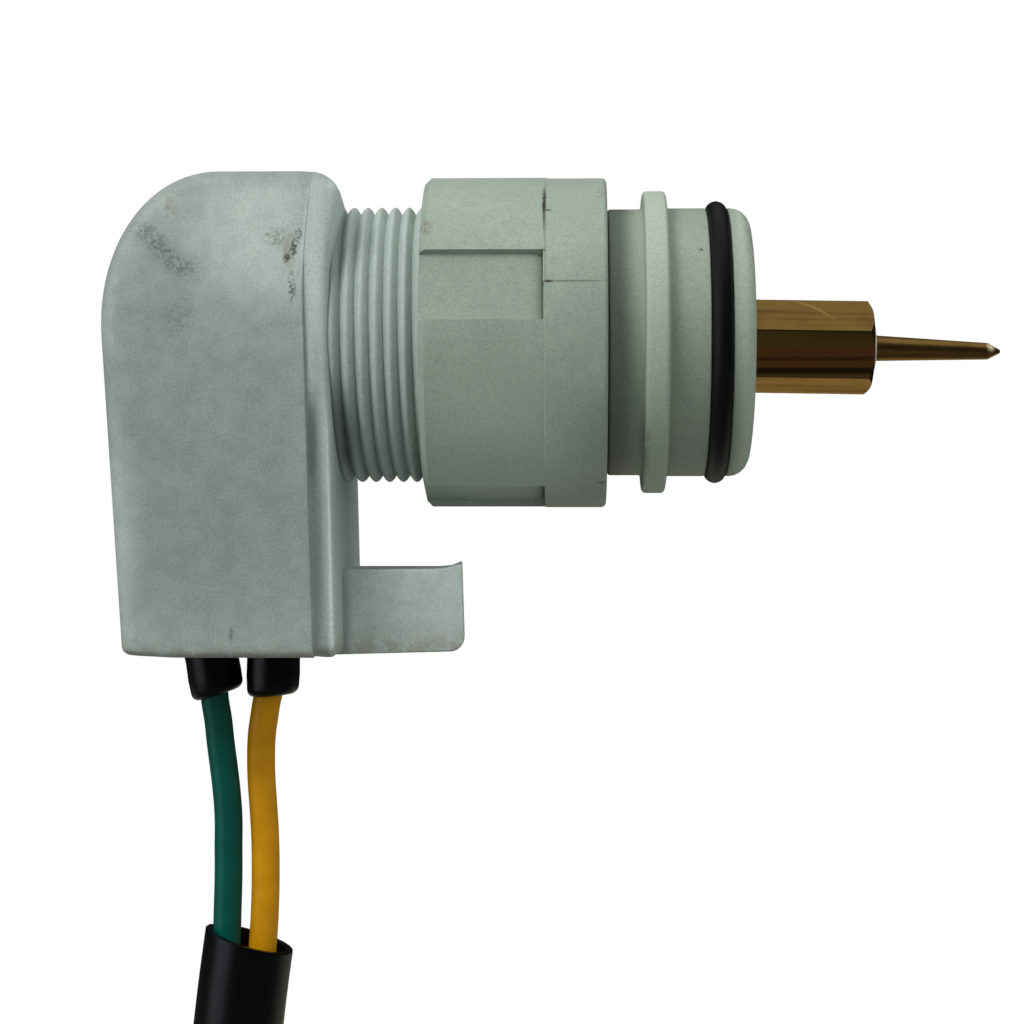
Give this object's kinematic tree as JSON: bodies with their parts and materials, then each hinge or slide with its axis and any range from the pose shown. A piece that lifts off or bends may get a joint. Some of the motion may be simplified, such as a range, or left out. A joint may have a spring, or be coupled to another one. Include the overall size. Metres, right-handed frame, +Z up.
{
  "type": "flame sensor probe",
  "caption": "Right-angle plug-in flame sensor: moulded elbow, union nut, sealed plug sleeve, brass hex holder with a pointed electrode, and a short sleeved two-wire lead.",
  "frame": {"origin": "centre of the collar's front face, where the plug seats in its port", "axes": "+X along the probe axis towards the electrode's tip, +Z up, with the lead leaving downwards"},
  "size_m": [0.0958, 0.0358, 0.2349],
  "materials": {
    "shell_plastic": "fine moulded grain, pale grey-green",
    "nut_plastic": "fine moulded grain, pale grey-green",
    "black_rubber": "satin black",
    "brass": "drawn and turned, slightly tarnished",
    "white_insulator": "plain white",
    "plated_steel": "bright plated",
    "black_insulator": "plain black",
    "green_insulation": "semi-gloss green",
    "yellow_insulation": "semi-gloss amber yellow",
    "black_sleeving": "satin black",
    "natural_nylon": "natural off-white"
  },
  "bodies": {
    "plug": {"plug_sleeve": "shell_plastic", "retaining_bush": "shell_plastic", "thrust_ring": "white_insulator", "face_gasket": "black_rubber", "o_ring": "black_rubber", "hex_holder": "brass", "holder_seal": "black_rubber", "lock_washer": "plated_steel", "lock_nut": "brass", "insulator_bush": "white_insulator", "electrode_pin": "brass"},
    "nut": {"union_nut": "nut_plastic"},
    "elbow": {"rear_cover": "shell_plastic", "front_body": "shell_plastic", "seam_gasket": "black_rubber", "socket_block": "black_insulator", "spring_contact": "brass", "centre_socket": "brass", "lead_green": "green_insulation", "lead_yellow": "yellow_insulation", "boot_green": "black_rubber", "boot_yellow": "black_rubber", "wire_green": "green_insulation", "wire_yellow": "yellow_insulation", "cable_sheath": "black_sleeving", "connector_housing": "natural_nylon", "connector_terminals": "brass"}
  },
  "joints": [
    {"name": "nut_turn", "type": "hinge", "parent": "plug", "child": "nut", "pos_m": [-0.016, 0, 0], "axis": [1, 0, 0], "range_deg": [0, 2700]},
    {"name": "elbow_draw", "type": "slide", "parent": "plug", "child": "elbow", "axis": [-1, 0, 0], "range_m": [0, 0.01125]}
  ],
  "couplings": [
    {"joint": "nut_turn", "follows": "elbow_draw", "rad_per_m": 4188.8}
  ]
}
